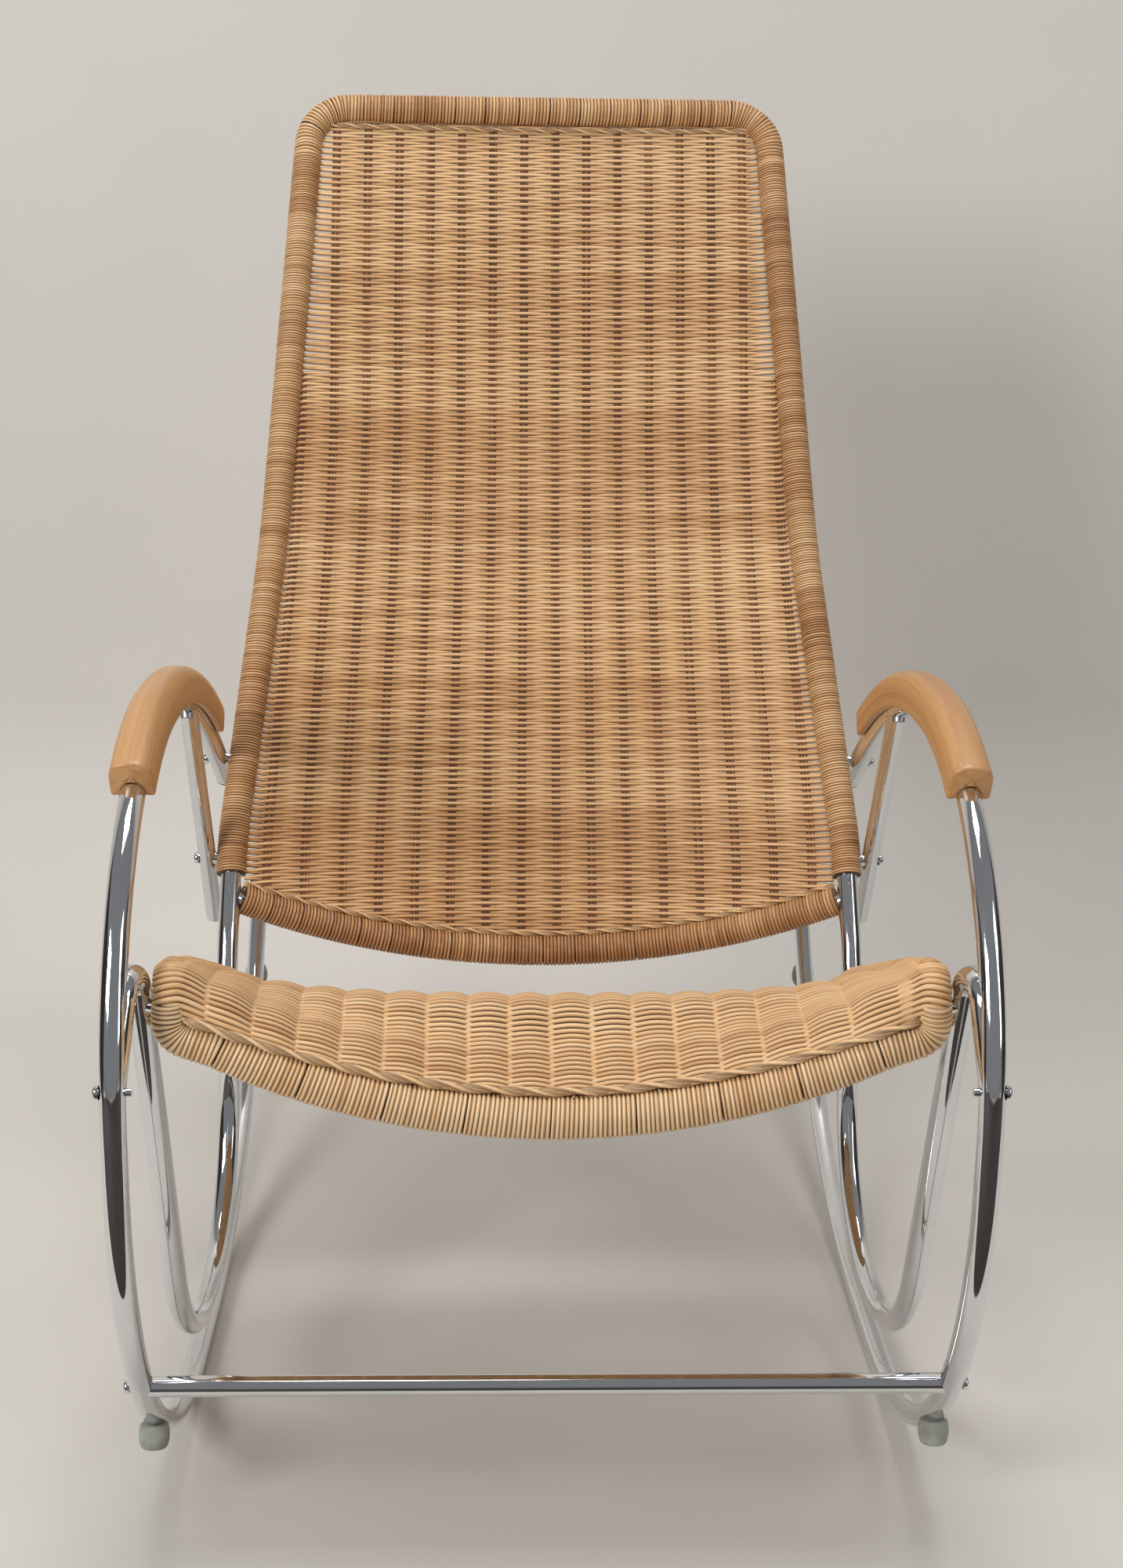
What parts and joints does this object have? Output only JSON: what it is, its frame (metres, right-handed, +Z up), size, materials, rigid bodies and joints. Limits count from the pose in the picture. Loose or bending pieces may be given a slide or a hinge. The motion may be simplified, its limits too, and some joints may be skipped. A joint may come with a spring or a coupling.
{
  "type": "rocking chair",
  "caption": "High-back rocking chair of bent chrome tube with a woven rattan seat and back, wood arm pads, curved runners and rubber stops.",
  "frame": {"origin": "on the floor, at the middle of the chair's box", "axes": "+Z up, the sitter faces -Y, +X to the right as seen from the front"},
  "size_m": [0.653, 0.9764, 1.125],
  "materials": {
    "chrome": "polished",
    "steel": "plain",
    "rattan": "satin cane",
    "beech": "satin lacquer",
    "rubber": "matte",
    "plastic": "matte"
  },
  "bodies": {
    "root": {"arch_bolts": "chrome", "arm_end_caps": "plastic", "arm_joint_bolts": "chrome", "armrest_screws": "steel", "back_hoop": "chrome", "back_left_wrap": "rattan", "back_lower_rail": "chrome", "back_lower_wrap": "rattan", "back_right_wrap": "rattan", "back_top_wrap": "rattan", "back_weave": "rattan", "crossbar_bolts": "chrome", "crossbar_inserts": "steel", "frame_spacers": "chrome", "front_crossbar": "chrome", "hoop_spigots": "steel", "left_arm_strut": "chrome", "left_armrest": "beech", "left_front_stop": "rubber", "left_loop": "chrome", "left_rear_stop": "rubber", "left_rocker_tube": "chrome", "rear_crossbar": "chrome", "right_arm_strut": "chrome", "right_armrest": "beech", "right_front_stop": "rubber", "right_loop": "chrome", "right_rear_stop": "rubber", "right_rocker_tube": "chrome", "runner_end_caps": "plastic", "seat_front_wrap": "rattan", "seat_left_wrap": "rattan", "seat_lugs": "chrome", "seat_rear_rail": "chrome", "seat_rear_wrap": "rattan", "seat_right_wrap": "rattan", "seat_ring": "chrome", "seat_weave": "rattan", "stop_screws": "steel", "strut_bolts": "chrome"}
  },
  "joints": []
}
